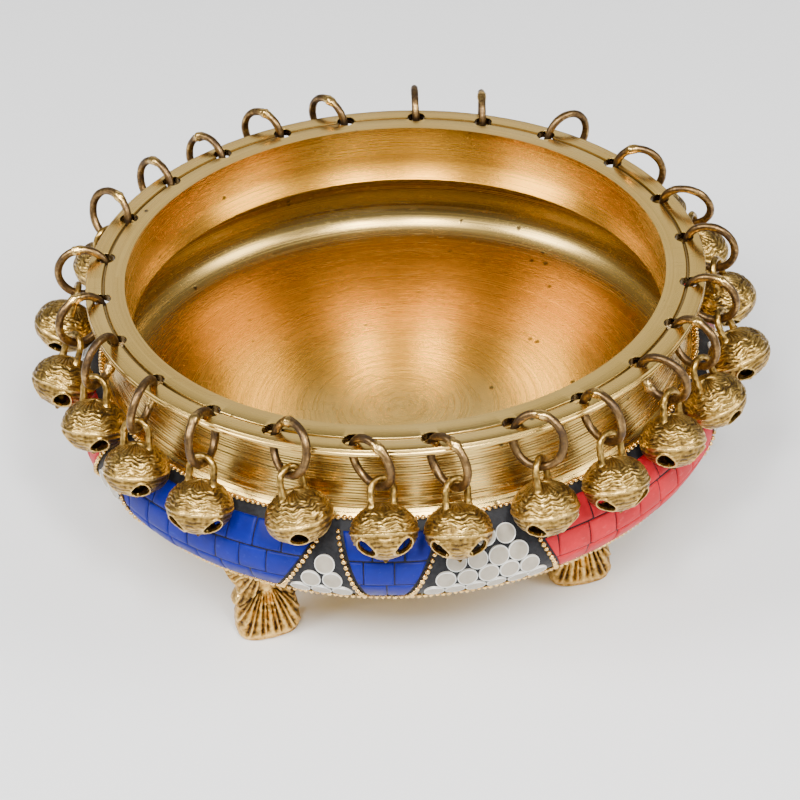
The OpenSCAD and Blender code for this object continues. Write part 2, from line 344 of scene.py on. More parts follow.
def inlay(name, base, deep, chalk):
    """A worn coloured brick: the mark is the brick's own shade."""
    s = Shade(name)
    cloud = s.noise(120.0, 6.0, rough=0.65)
    fine = s.noise(1400.0, 3.0)
    scuff_place = s.node("ShaderNodeMapping", {"Vector": s.place(), "Rotation": (0.3, 0.5, 0.2),
                                               "Scale": (500.0, 160.0, 700.0)})
    scuff = s.ramp(s.noise(1.0, 5.0, scuff_place), 0.60, 0.74)
    tone = s.mix(s.ramp(cloud, 0.3, 0.72), deep, base)
    tone = s.mix(s.math("MULTIPLY", s.mark(), 0.35), tone, deep)
    tone = s.mix(s.math("MULTIPLY", scuff, 0.22), tone, chalk)
    normal = s.bump(fine, 0.16, 0.0001)
    normal = s.bump(cloud, 0.25, 0.0004, normal)
    return s.finish(Base_Color=tone, Roughness=s.ramp(cloud, 0.3, 0.7, 0.40, 0.58), Normal=normal,
                    Specular_IOR_Level=0.2)


def disc_shell():
    """Pale, faintly silvery disc; the mark is 1 on its thin raised edge, which is painted near white as a
    highlight.
    """
    s = Shade("disc_shell")
    cloud = s.noise(260.0, 5.0)
    fine = s.noise(1600.0, 3.0)
    tone = s.mix(s.ramp(cloud, 0.3, 0.7), (0.31, 0.27, 0.20), (0.40, 0.355, 0.28))
    # painted highlight: the thin raised edge is coloured near white
    tone = s.mix(s.mark(), tone, (0.80, 0.79, 0.74))
    return s.finish(Base_Color=tone, Roughness=s.ramp(fine, 0.3, 0.7, 0.30, 0.48), Metallic=0.15,
                    Normal=s.bump(fine, 0.12, 0.0001))


def lac():
    s = Shade("lac")
    fine = s.noise(700.0, 5.0)
    return s.finish(Base_Color=s.mix(s.ramp(fine, 0.3, 0.75), (0.004, 0.004, 0.005), (0.020, 0.020, 0.023)),
                    Roughness=s.ramp(fine, 0.3, 0.7, 0.42, 0.62), Normal=s.bump(fine, 0.35, 0.0004),
                    Specular_IOR_Level=0.2)


def pale_floor():
    s = Shade("pale_floor")
    tone = s.mix(s.ramp(s.noise(3.0, 2.0), 0.3, 0.7), (0.86, 0.86, 0.86), (0.88, 0.88, 0.88))
    return s.finish(Base_Color=tone, Roughness=0.75)


# ---------------------------------------------------------------- turned bowl

def ellipse_r(d, r0, r1, d1, up, down):
    return r0 + (r1 - r0) * math.sqrt(max(0.0, 1 - ((d - d1) / (up if d < d1 else down)) ** 2))


def coat_r(d):
    return ellipse_r(d, 80, 109, 44, 21.6, 17.4)


def brass_r(d):
    return ellipse_r(d, 78, 105.4, 43, 22.85, 19.2)


def neck_r(share):
    """The neck's outer radius at a share of its way down."""
    return NECK_R + NECK_FLARE * share ** 1.6


def neck_profile():
    """The neck's outside, with the lathe's fine grooves cut into it."""
    rng = random.Random(5)
    steps, first, last = 150, 4.2, 25.6
    grooves, d = [], first
    while d < last:
        grooves.append((d, rng.uniform(0.05, 0.13), rng.uniform(0.14, 0.24)))
        d += rng.uniform(0.75, 1.15)
    out = []
    for i in range(steps):
        t = i / (steps - 1)
        d = NECK_TOP_D + NECK_LENGTH * t
        cut = sum(a * math.exp(-((d - g) / w) ** 2) for g, a, w in grooves)
        out.append((neck_r(t) - cut, RIM - d))
    return out


def bowl_outline():
    """The whole turned section: flange, neck, belly, underside, dished inside and mouth."""
    edge, groove = FLANGE_R, GROOVE_R
    flange = [(MOUTH_R, 0), (groove - 0.5, 0), (groove - 0.35, GROOVE_D), (groove + 0.35, GROOVE_D),
              (groove + 0.5, 0), (edge - 0.15, 0), (edge, 0.85), (edge - 0.4, 1.2), (edge, 1.5),
              (edge, FLANGE_T - 0.15), (edge - 0.6, FLANGE_T), (NECK_R + 0.2, FLANGE_T)]
    flange = [(r, RIM - d) for r, d in flange]
    belly = [(brass_r(d), RIM - d) for d in np.linspace(NECK_D + 0.2, UNDER_D, 20)]
    under = [(UNDER_R * math.cos(t * DEG), RIM - UNDER_D - UNDER_DEEP * math.sin(t * DEG))
             for t in np.linspace(8, 90, 30)]
    inside = [(0, 58), (20, 57.8), (40, 57.2), (60, 56.0), (75, 54.3), (84, 52.5), (90, 50.7), (95, 48.3),
              (98.6, 45.2), (100.9, 41.2), (101.9, 36.8), (101.2, 32.4), (98.6, 28.6), (94.6, 25.6),
              (91.2, 23.2), (89.4, 21.7)]
    inside = [(r, RIM - d) for r, d in smooth_curve(inside, 8)]
    lip = [(MOUTH_R + 0.35, RIM - 21.3), (MOUTH_R, RIM - 20.6), (MOUTH_R, RIM - 12), (MOUTH_R, RIM - 4)]
    return rounded(flange, 0.35)[2:-2] + neck_profile() + belly + under + inside + lip


def hole_cutter(material):
    """A pin through the flange at each ring's hole, a little wider at the top."""
    low, shoulder, high = RIM - 5, RIM - 0.25, RIM + 0.3
    profile = [(0, low), (HOLE_R, low), (HOLE_R, shoulder), (HOLE_R + 0.35, high), (0, high)]
    pins = []
    for k in range(1, BELLS + 1):
        v, f = lathe(profile, 48, False)
        pins.append((v + polar(HOLE_RING_R, hole_azimuth(k), 0), f, 0.0))
    v, f, _ = joined(pins)
    return build("hole_cutter", v, f, material, weld=True)


def make_bowl(material):
    crease = 28
    bowl = build("turned_bowl", *lathe(bowl_outline(), 480), material, crease, weld=True)
    cutter = hole_cutter(material)
    cut = bowl.modifiers.new("holes", "BOOLEAN")
    cut.operation = "DIFFERENCE"
    cut.solver = "EXACT"
    cut.object = cutter
    apply_modifiers(bowl, crease)
    bpy.data.objects.remove(cutter)
    mark_dirt_and_painted_shade(bowl)
    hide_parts("bowl")
    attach(bowl, "bowl_body")


def mark_dirt_and_painted_shade(bowl):
    """Painted shade in the holes, under the flange and in the undercut; dirt with painted shade in the groove
    and the neck's cuts.
    """
    mesh = bowl.data
    p = np.empty(len(mesh.vertices) * 3)
    mesh.vertices.foreach_get("co", p)
    p = p.reshape(-1, 3) / MM
    r, depth = np.hypot(p[:, 0], p[:, 1]), RIM - p[:, 2]
    # dirt and painted shade in the groove
    in_groove = (np.abs(r - GROOVE_R) < 0.42) & (depth > GROOVE_D - 0.25) & (depth < GROOVE_D + 0.2)
    dirt_and_painted_shade = np.where(in_groove, 0.75, 0.0)
    # painted shade inside each hole
    for k in range(1, BELLS + 1):
        hole = polar(HOLE_RING_R, hole_azimuth(k), 0)
        near = np.hypot(p[:, 0] - hole[0], p[:, 1] - hole[1]) < HOLE_R + 0.1
        dirt_and_painted_shade = np.where(near & (depth > 0.2) & (depth < FLANGE_T + 0.1), 1.0, dirt_and_painted_shade)
    # painted shade under the flange
    under = (r > NECK_R - 0.4) & (r < FLANGE_R - 0.8) & (depth > FLANGE_T - 0.2) & (depth < FLANGE_T + 1.2)
    dirt_and_painted_shade = np.where(under, np.maximum(dirt_and_painted_shade, 0.6), dirt_and_painted_shade)
    # dirt and painted shade in the neck's cuts
    share = np.clip((depth - NECK_TOP_D) / NECK_LENGTH, 0, 1)
    cut = neck_r(share) - r
    on_neck = (depth > 3.5) & (depth < 26) & (r > NECK_R - 0.3)
    dirt_and_painted_shade = np.where(on_neck, np.clip(cut / 0.13, 0, 1) * 0.38, dirt_and_painted_shade)
    # painted shade in the undercut below the neck
    wall = np.array([brass_r(d) if 24 < d < UNDER_D else 0 for d in depth])
    undercut = (r > 93) & (r < wall - 1.2) & (depth < 49)
    dirt_and_painted_shade = np.where(undercut, 0.5 * np.clip((r - 93) / 6, 0, 1), dirt_and_painted_shade)
    mark = mesh.attributes.new("mark", "FLOAT", "POINT")
    mark.data.foreach_set("value", dirt_and_painted_shade.astype(np.float32))


def hole_azimuth(k):
    """A hole lies on its circle, in the ring's plane through the hinge."""
    hinge = JOINTS[f"ring_{k}_swing"]
    p, n = np.array(hinge["pos_m"]) / MM, np.array(hinge["axis"])
    u = np.cross(n, [0, 0, 1.0])
    u /= np.linalg.norm(u)
    if u[:2] @ p[:2] < 0:
        u = -u
    b = p[:2] @ u[:2]
    s = b - math.sqrt(b * b - p[:2] @ p[:2] + HOLE_RING_R ** 2)
    q = p[:2] - s * u[:2]
    return math.degrees(math.atan2(q[1], q[0]))


# ---------------------------------------------------------------- mosaic coat

def on_coat(az, d, lift):
    """A point over the coat's surface, lift millimetres along its normal."""
    slope = (coat_r(d + 0.05) - coat_r(d - 0.05)) / 0.1
    n = math.hypot(1, slope)
    return polar(coat_r(d) + lift / n, az, RIM - d + lift * slope / n)


def border(i, d):
    """Azimuth of the first border of panel i at a depth."""
    if i == len(PANELS):
        return border(0, d) + 360
    _, top, bottom = PANELS[i]
    t = (d - COAT_TOP) / (COAT_END - COAT_TOP)
    return top + (bottom - top) * t


def brick(left, right, d0, d1, lift, tilt):
    """A cushion-edged brick whose ends follow left(d) and right(d)."""
    across = [0, 0.02, 0.055, 0.12, 0.22, 0.36, 0.5, 0.64, 0.78, 0.88, 0.945, 0.98, 1]
    down = [0, 0.03, 0.09, 0.25, 0.5, 0.75, 0.91, 0.97, 1]
    edge_fall = {0: 0.42, 1: 0.13, 2: 0.02}
    most_fall, root = 0.6, -1.5
    rows, cols = len(down), len(across)
    verts = []
    for i, t in enumerate(down):
        d = d0 + (d1 - d0) * t
        for j, s in enumerate(across):
            az = left(d) + (right(d) - left(d)) * s
            fall = edge_fall.get(min(i, rows - 1 - i), 0) + edge_fall.get(min(j, cols - 1 - j), 0)
            height = lift + tilt[0] * (s - 0.5) + tilt[1] * (t - 0.5) - min(fall, most_fall)
            verts.append(on_coat(az, d, height))
    faces = [f[::-1] for f in grid_faces(rows, cols)]
    rim = list(range(cols))
    rim += [i * cols + cols - 1 for i in range(1, rows)]
    rim += [(rows - 1) * cols + j for j in range(cols - 2, -1, -1)]
    rim += [i * cols for i in range(rows - 2, 0, -1)]
    base = len(verts)
    for index in rim:
        i, j = divmod(index, cols)
        d = d0 + (d1 - d0) * down[i]
        verts.append(on_coat(left(d) + (right(d) - left(d)) * across[j], d, root))
    n = len(rim)
    faces += [(rim[k], rim[(k + 1) % n], base + (k + 1) % n, base + k) for k in range(n)]
    return np.array(verts), faces


def brick_side(rng, panel, share, sign, mid, margin):
    """Where one end of a brick lies at each depth: by the panel's border, or at a joint between bricks."""
    per_mm = 180 / math.pi / MEAN_COAT_R
    if share <= 0:
        return lambda d: border(panel, d) + margin[0] * per_mm
    if share >= 1:
        return lambda d: border(panel + 1, d) - margin[1] * per_mm
    half_joint = 0.17
    at = border(panel, mid) + (border(panel + 1, mid) - border(panel, mid)) * share
    lean = rng.uniform(-0.02, 0.02)
    return lambda d: at + lean * (d - mid) + sign * half_joint * per_mm


def brick_cuts(rng, width, shift):
    """The shares of a course's width at which its joints lie; shift is how much of a brick they move by."""
    brick_width = 5.5
    count = max(1, round(width / brick_width))
    near = 0.12 / count
    cuts = [(m + shift) / (count + shift) for m in range(count + 1)]
    return [0.0] + [x + rng.uniform(-0.012, 0.012) for x in cuts if near < x < 1 - near] + [1.0]


def make_bricks(kind, material):
    rng = random.Random(kind)
    courses = [29.9, 37.6, 45.9, 53.5]
    half_joint, by_beads, by_bricks, least_width, least_end = 0.2, 1.55, 0.2, 0.8, 0.1
    parts = []
    for i, (name, _, _) in enumerate(PANELS):
        if name != kind:
            continue
        beside = (PANELS[i - 1][0], PANELS[(i + 1) % len(PANELS)][0])
        margin = [by_beads if other == "disc" else by_bricks for other in beside]
        for c in range(len(courses) - 1):
            d0, d1 = courses[c] + half_joint, courses[c + 1] - half_joint
            mid = (d0 + d1) / 2
            cuts = brick_cuts(rng, border(i + 1, mid) - border(i, mid), 0.5 if c % 2 else 0)
            for a, b in zip(cuts, cuts[1:]):
                left = brick_side(rng, i, a, 1, mid, margin)
                right = brick_side(rng, i, b, -1, mid, margin)
                if right(mid) - left(mid) < least_width:
                    continue
                if right(d0) < left(d0) + least_end or right(d1) < left(d1) + least_end:
                    continue
                lift = rng.uniform(-0.06, 0.12)
                tilt = (rng.uniform(-0.16, 0.16), rng.uniform(-0.14, 0.14))
                v, f = brick(left, right, d0, d1, lift, tilt)
                parts.append((v, f, rng.random()))
    v, f, m = joined(parts)
    obj = build(f"{kind}_bricks", v, f, material, 60, marks=m)
    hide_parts(f"{kind}_tiles")
    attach(obj, "bowl_body")


def make_lac_bed(material):
    start, ring, sunk = 26.7, 26.9, 0.42
    outer = [(brass_r(start) + 0.1, RIM - start)]
    for d in np.linspace(ring, UNDER_D, 60):
        p = on_coat(0, d, -sunk)
        outer.append((max(p[0], brass_r(d) + 0.15), p[2]))
    inner = [(brass_r(d) - 0.3, RIM - d) for d in np.linspace(UNDER_D, ring, 24)]
    v, f = lathe(outer + inner, 360)
    v = [p * (1 + 0.0007 * lumps(p, 2.6)) for p in v]
    obj = build("lac_layer", v, f, material, 40)
    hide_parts("lac_bed")
    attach(obj, "bowl_body")


def make_discs(material):
    rng = random.Random(8)
    rows, first_row, row_step = 4, 33.3, 5.75
    disc_step, clear, sunk, sides = 6.62, 3.4, 0.12, 40
    profile = [(0, 0.02), (1.6, 0.015), (2.7, 0.0), (2.93, 0.03), (3.05, 0.12), (3.16, 0.13), (3.24, 0.04),
               (3.24, -0.7)]
    # these marks put the painted highlight on the raised edge
    marks = [0, 0, 0, 0.15, 1, 1, 0.8, 0.2]
    parts = []
    for i, (name, _, _) in enumerate(PANELS):
        if name != "disc":
            continue
        for row in range(rows):
            d = first_row + row_step * row
            a, b = border(i, d), border(i + 1, d)
            width = (b - a) * DEG * coat_r(d)
            count = int((width - clear) / disc_step)
            for j in range(count):
                along = (j - (count - 1) / 2) * disc_step / coat_r(d) / DEG
                az = (a + b) / 2 + along + rng.uniform(-0.12, 0.12)
                deep = d + rng.uniform(-0.15, 0.15)
                o, up = on_coat(az, deep, 0), on_coat(az, deep, 1)
                z = up - o
                x = np.cross([0, 0, 1.0], z)
                x /= np.linalg.norm(x)
                z = z + x * rng.uniform(-0.03, 0.03)
                z /= np.linalg.norm(z)
                y = np.cross(z, x)
                v, f = lathe(profile, sides, False)
                size = rng.uniform(0.955, 1.01)
                v = o + (v[:, :1] * x * size + v[:, 1:2] * y * size + (v[:, 2:] - sunk) * z)
                parts.append((v, f, np.tile(marks, sides)))
    v, f, m = joined(parts)
    obj = build("inlay_discs", v, f, material, 50, marks=m)
    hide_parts("white_discs")
    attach(obj, "bowl_body")


def bead_spots(rng):
    """Azimuth, depth and lift of each bead: a row above and one below the coat, and slanted rows."""
    spacing, slanted_spacing, slanted_lift = 1.86, 1.9, 0.05
    slanted_top, slanted_end, step = 30.3, 54.2, 0.05
    spots = []
    for d, lift in ((27.7, 0.1), (55.0, 0.2)):
        count = round(2 * math.pi * coat_r(d) / spacing)
        for j in range(count):
            spots.append((360 * j / count + rng.uniform(-0.08, 0.08), d + rng.uniform(-0.07, 0.07), lift))
    for i in range(len(PANELS)):
        if "disc" not in (PANELS[i][0], PANELS[i - 1][0]):
            continue
        d, last = slanted_top, None
        while d < slanted_end:
            az = border(i, d)
            p = on_coat(az, d, 0)
            if last is None or np.linalg.norm(p - last) > slanted_spacing:
                spots.append((az + rng.uniform(-0.05, 0.05), d, slanted_lift))
                last = p
            d += step
    return spots


def make_beads(material):
    rng = random.Random(3)
    bead_r = 0.86
    spots = bead_spots(rng)
    ball = [(math.cos(t), math.sin(t)) for t in np.linspace(-math.pi / 2, math.pi / 2, 8)]
    v0, f0 = lathe(ball, 12, False)
    parts = []
    for az, d, lift in spots:
        size = bead_r * rng.uniform(0.9, 1.06)
        squash = np.array([rng.uniform(0.92, 1.05) for _ in range(3)])
        parts.append((on_coat(az, d, lift) + v0 * size * squash, f0, rng.uniform(0.55, 1.0)))
    v, f, m = joined(parts)
    obj = build("fine_beads", v, f, material, 80, marks=m)
    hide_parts("bead_rows")
    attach(obj, "bowl_body")


# ---------------------------------------------------------------- feet

def smooth(x, a, b):
    t = min(1.0, max(0.0, (x - a) / (b - a)))
    return t * t * (3 - 2 * t)


def between(x, points):
    xs, ys = zip(*points)
    return float(np.interp(x, xs, ys))


def leaf_relief(y, z):
    """The carving of a foot's face in millimetres, at a point across and up it."""
    fan_top, wing_top = 24.5, 35
    seam = 20 - 0.72 * abs(y)
    low = smooth(seam - z, -0.4, 0.4)
    # Below the seam, long teardrops fan down to the toe.
    turn = math.atan2(y, fan_top - z) / 0.22
    s = abs(turn - round(turn))
    reach = math.hypot(y, fan_top - z)
    drop = (0.95 * math.exp(-((0.5 - s) / 0.10) ** 2) - 0.75 * math.exp(-((0.31 - s) / 0.10) ** 2)
            + 0.45 * math.exp(-(s / 0.13) ** 2))
    drop = drop * smooth(reach, 5, 9) * smooth(z, 1.6, 3.4) + 0.55 * math.exp(-((z - 2.2) / 0.8) ** 2)
    # Above it, shorter flutes sweep out of the spine to each side.
    turn = math.atan2(wing_top - z, abs(y) + 0.6) / 0.235
    s = abs(turn - round(turn))
    wing = 0.85 * math.exp(-((0.5 - s) / 0.14) ** 2) - 0.55 * math.exp(-((0.26 - s) / 0.12) ** 2)
    wing *= smooth(abs(y), 1.2, 3.0)
    spine = math.exp(-(y / 1.1) ** 2) * (0.75 + 0.25 * math.sin(z * 2.4)) * smooth(z, 6, 9)
    edge = -0.9 * math.exp(-((z - seam) / 0.45) ** 2) * smooth(abs(y), 1.0, 2.5)
    return low * drop + (1 - low) * wing + 0.8 * spine + edge


def foot_points(index, rows, cols, top):
    """Points and marks of a carved foot that stands at the origin and faces along X."""
    wide = [(0, 9.3), (0.8, 10.1), (3, 10.6), (9, 10.5), (12, 9.7), (13.2, 10.6), (14.8, 11.2),
            (16.4, 10.5), (17.8, 9.2), (20, 9.3), (24, 11.4), (28, 12.9), (32, 13.2), (top, 12.6)]
    front = [(0, 6.3), (0.8, 7.1), (3.5, 7.3), (8, 6.4), (13, 5.2), (18, 4.6), (23, 5.0), (29, 6.4),
             (top, 8.0)]
    back = [(0, 4.6), (1, 5.2), (8, 5.4), (18, 5.4), (25, 6.0), (30, 7.2), (top, 9.0)]
    verts, marks = [], []
    for i in range(rows):
        z = top * i / (rows - 1)
        w, fr, bk = between(z, wide), between(z, front), between(z, back)
        ear = smooth(z, 20, 25)
        for j in range(cols):
            a = 2 * math.pi * j / cols
            ca, sa = math.cos(a), math.sin(a)
            half = w if ca > 0 else w * (1 - 0.16 * smooth(-ca, 0, 0.8))
            y = half * math.copysign(abs(sa) ** 0.78, sa)
            depth = (fr if ca > 0 else bk) * (1 - ear * 0.35 * smooth(abs(y), 5.5, 10))
            x = depth * math.copysign(abs(ca) ** 0.62, ca)
            shown = smooth(ca, 0.04, 0.30)
            relief = leaf_relief(y, z) if shown > 0 else 0.0
            knob = 0.32 * lumps((x, y, z), 1.2, 3.0 + index)
            rough = 0.14 * lumps((x, y, z), 2.5, 9.0)
            out = np.array([ca / max(depth, 1) * 6, sa / max(w, 1) * 6])
            out /= np.linalg.norm(out)
            lift = shown * (0.72 * relief + knob - 0.35) * smooth(z, 0.2, 1.4) + rough
            verts.append((x + out[0] * lift, y + out[1] * lift, z))
            marks.append(0.60 + (0.50 * (relief - 0.25) + 0.5 * knob) * shown - 0.10 * (1 - shown))
    return np.array(verts), marks


def make_foot(index, material):
    """A cast leaf in two tiers of flutes, with a lobe on each edge, two ears and a plain thick back."""
    radius, az, yaw = FEET[index]
    rows, cols = 190, 260
    verts, marks = foot_points(index, rows, cols, RIM - FOOT_TOP_D)
    faces = grid_faces(rows, cols, False, True)
    faces += [tuple(range(cols))[::-1], tuple(range((rows - 1) * cols, rows * cols))]
    turn = (az + yaw) * DEG
    x = np.array([math.cos(turn), math.sin(turn), 0])
    y = np.array([-math.sin(turn), math.cos(turn), 0])
    z = np.array([0, 0, 1.0])
    verts = polar(radius, az, 0) + verts[:, :1] * x + verts[:, 1:2] * y + verts[:, 2:] * z
    # The foot's top is shaped to the turned underside of the bowl.
    r = np.hypot(verts[:, 0], verts[:, 1])
    dome = UNDER_D + UNDER_DEEP * np.sqrt(np.clip(1 - (r / UNDER_R) ** 2, 0, 1)) - 0.15
    under = np.where(r > 95.4, UNDER_D + 0.2, dome)
    verts[:, 2] = np.clip(verts[:, 2], 0, RIM - under)
    obj = build(f"leaf_foot_{index + 1}", verts, faces, material, 50, marks=marks)
    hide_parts(f"foot_{index + 1}")
    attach(obj, "bowl_body")


# ---------------------------------------------------------------- rings and bells

def turn_from(t, at):
    """The shorter turn that leads from one angle to another."""
    return (t - at + math.pi) % (2 * math.pi) - math.pi


def make_ring(k, material):
    """A hand-bent wire ring with a lumpy brazed joint."""
    rng = random.Random(40 + k)
    low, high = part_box(f"ring_{k}")
    mid = np.array((low + high) / 2) / MM
    hinge, hang = JOINTS[f"ring_{k}_swing"], JOINTS[f"bell_{k}_swing"]
    n = np.array(hinge["axis"])
    down = np.array(hang["pos_m"]) / MM - mid
    down /= np.linalg.norm(down)
    out = np.cross(n, down)
    web = np.array(hinge["pos_m"]) / MM - mid
    web_at = math.atan2(web @ out, web @ down)
    blob_at = web_at + rng.choice([-1, 1]) * rng.uniform(0.95, 1.3)
    if k in (1, 2, 3, 5, 23, 24):
        # These rings show their joint on the outer side.
        apart = 1.05
        blob_at = web_at + (apart if math.sin(web_at + apart) > math.sin(web_at - apart) else -apart)
    steps, sides = 150, 22
    path, radii = [], []
    for i in range(steps):
        t = 2 * math.pi * i / steps
        wobble = 0.10 * math.sin(2 * t + k) + 0.05 * math.sin(3 * t + 2 * k)
        twist = 0.10 * math.sin(t + k * 1.7)
        path.append(mid + (RING_R + wobble * 0.6) * (math.cos(t) * down + math.sin(t) * out) + twist * n)
        blob = math.exp(-(turn_from(t, blob_at) / 0.20) ** 2)
        radii.append(WIRE_R * (1 + 0.03 * math.sin(5 * t + k)) + 0.42 * blob)
    v, f = tube(path, radii, sides, True)
    marks = []
    for i in range(len(v)):
        t = 2 * math.pi * (i // sides) / steps
        blob = math.exp(-(turn_from(t, blob_at) / 0.24) ** 2)
        lump = lumps(v[i], 1.1, k * 3.1)
        v[i] = v[i] + (v[i] - path[i // sides]) * (0.05 * lumps(v[i], 2.4, k) + 0.22 * blob * lump)
        marks.append(0.36 + 0.25 * lumps(v[i], 3.0, 5 + k) + 0.6 * blob + 0.15 * blob * lump)
    obj = build(f"wire_ring_{k}", v, f, material, 70, marks=marks)
    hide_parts(f"ring_{k}")
    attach(obj, f"ring_{k}")


def opening_axes(p):
    """The axis, side and up directions of the side opening nearest to a point of the bell."""
    q = round(math.atan2(p[1], p[0]) / (math.pi / 2)) * math.pi / 2
    low = OPENING_LOW * DEG
    axis = np.array([math.cos(q) * math.cos(low), math.sin(q) * math.cos(low), -math.sin(low)])
    side = np.array([-math.sin(q), math.cos(q), 0])
    return axis, side, np.cross(axis, side)


def opening_reach(p):
    """1 on the edge of the nearest of the bell's four side openings, less inside it."""
    axis, side, up = opening_axes(p)
    along = p @ up
    return math.hypot(p @ side / (OPENING_W - 0.12 * along), along / OPENING_H)


def bell_point(lat, a):
    """A point of the plain shell and its outward direction: rounded above the seam, conical below."""
    c, s = math.cos(lat), math.sin(lat)
    if lat > 0:
        half = BELL_UP
        p = np.array([BELL_R * c * math.cos(a), BELL_R * c * math.sin(a), BELL_UP * s])
    else:
        half = BELL_DOWN
        cone = BELL_R * c ** (1.0 + 0.28 * smooth(-lat, 0, 0.8))
        p = np.array([cone * math.cos(a), cone * math.sin(a), -BELL_DOWN * abs(s) ** 0.97])
    n = np.array([p[0] / BELL_R ** 2, p[1] / BELL_R ** 2, p[2] / half ** 2])
    return p, n / np.linalg.norm(n)


def bell_relief(lat, a, seed):
    """The casting's pattern: wavy dashes, with rays near the loop and fine waves below the seam."""
    zig = abs((a * (7 + seed) / math.pi) % 2 - 1)
    across = lat * BELL_R + 1.3 * zig * (1 if lat > 0 else 0.5)
    width, height = (2.3, 0.62) if lat > 0 else (2.8, 0.55)
    place = Vector((math.cos(a) * BELL_R / width, math.sin(a) * BELL_R / width, across / height + 7.0 * seed))
    dash = math.tanh(3.2 * noise.noise(place))
    if lat > 0:
        rays = abs(math.sin(a * 14 + 0.6 * math.sin(lat * 9 + seed)))
        near = smooth(lat, 0.85, 1.1)
        relief = near * 0.26 * (rays - 0.4) + (1 - near) * 0.20 * dash
    else:
        fine = math.sin(-lat * 36 + 0.7 * math.sin(a * 12 + seed))
        relief = (0.09 * fine + 0.10 * dash) * (1 - 0.7 * smooth(-lat, 0.8, 1.2))
    return relief * smooth(abs(lat), 0.05, 0.13)


def bell_shell(seed, material):
    """The bell's shell about the middle of its seam, with its four openings and the thickness of its wall."""
    rows, cols, crease, wall_t = 132, 240, 75, 0.9
    seam_width, no_opening = 0.42, 9.0
    verts, marks, inside = [], [], []
    for i in range(rows):
        lat = math.pi * (i / (rows - 1) - 0.5)
        for j in range(cols):
            a = 2 * math.pi * j / cols
            p, n = bell_point(lat, a)
            relief = bell_relief(lat, a, seed)
            rough = 0.08 * lumps(p, 0.9, seed) + 0.10 * lumps(p, 4.0, seed + 20)
            seam = math.exp(-((p[2] + 0.1) / seam_width) ** 2)
            q = opening_reach(p) if lat < 0 else no_opening
            lip = math.exp(-((q - 1.12) / 0.11) ** 2) if q > 0.9 else 0
            relief *= smooth(q, 1.0, 1.35)
            verts.append(p + n * (relief + rough + 0.42 * seam + 0.38 * lip))
            marks.append(min(1.0, 0.50 + 1.5 * relief + 0.40 * seam + 0.45 * lip + 1.2 * rough))
            inside.append(q)
    verts, inside = np.array(verts), np.array(inside)
    kept = [f for f in grid_faces(rows, cols, False, True) if max(inside[i] for i in f) >= 1.0]
    for i in {i for f in kept for i in f if inside[i] < 1.0}:
        p = verts[i]
        axis = opening_axes(p)[0]
        along = (p @ axis) * axis
        verts[i] = along + (p - along) / max(inside[i], 0.5)
    body = build(f"bell_body_{seed}", verts, kept, material, crease, weld=True, marks=marks)
    wall = body.modifiers.new("wall", "SOLIDIFY")
    wall.thickness = wall_t * MM
    wall.offset = -1
    return apply_modifiers(body, crease)


def bell_loop(seed, material):
    """The wire loop on the bell's cap, thicker where it is cast in."""
    mid = BELL_HANG + WIRE_R + 0.3 + LOOP_WIRE - LOOP_R
    bend = np.linspace(0.12, math.pi - 0.12, 30)
    path = [(0, -LOOP_R - 0.25, LOOP_FOOT - 1)]
    path += [(0, -LOOP_R, z) for z in np.linspace(LOOP_FOOT, mid, 12)]
    path += [(0, -LOOP_R * math.cos(t), mid + LOOP_R * math.sin(t)) for t in bend]
    path += [(0, LOOP_R, z) for z in np.linspace(mid, LOOP_FOOT, 12)]
    path += [(0, LOOP_R + 0.25, LOOP_FOOT - 1)]
    radii = [LOOP_WIRE * (1 + 0.85 * math.exp(-max(0.0, z - 6.2) / 1.2)) for _, _, z in path]
    v, f = tube(path, radii, 20)
    v = np.array([p + 0.16 * np.array([lumps(p, 1.3, seed + 2), lumps(p, 1.3, seed + 5), 0]) for p in v])
    marks = [0.60 + 0.45 * lumps(p, 1.3, seed) for p in v]
    return build(f"bell_loop_{seed}", v, f, material, 60, marks=marks)


def bell_pellet(seed, material):
    """The loose ball inside the bell, lying low in it."""
    radius, low = 2.8, -4.9
    half_turn = np.linspace(-math.pi / 2, math.pi / 2, 14)
    v, f = lathe([(radius * math.cos(t), radius * math.sin(t) + low) for t in half_turn], 24, False)
    marks = [0.15 + 0.2 * lumps(p, 1.5) for p in v]
    return build(f"bell_pellet_{seed}", v, f, material, 80, marks=marks)


def bell_meshes(seed, material):
    """The meshes of one kind of bell, which several bells share."""
    meshes = []
    for obj in (bell_shell(seed, material), bell_loop(seed, material), bell_pellet(seed, material)):
        meshes.append(obj.data)
        bpy.data.objects.remove(obj)
    return meshes


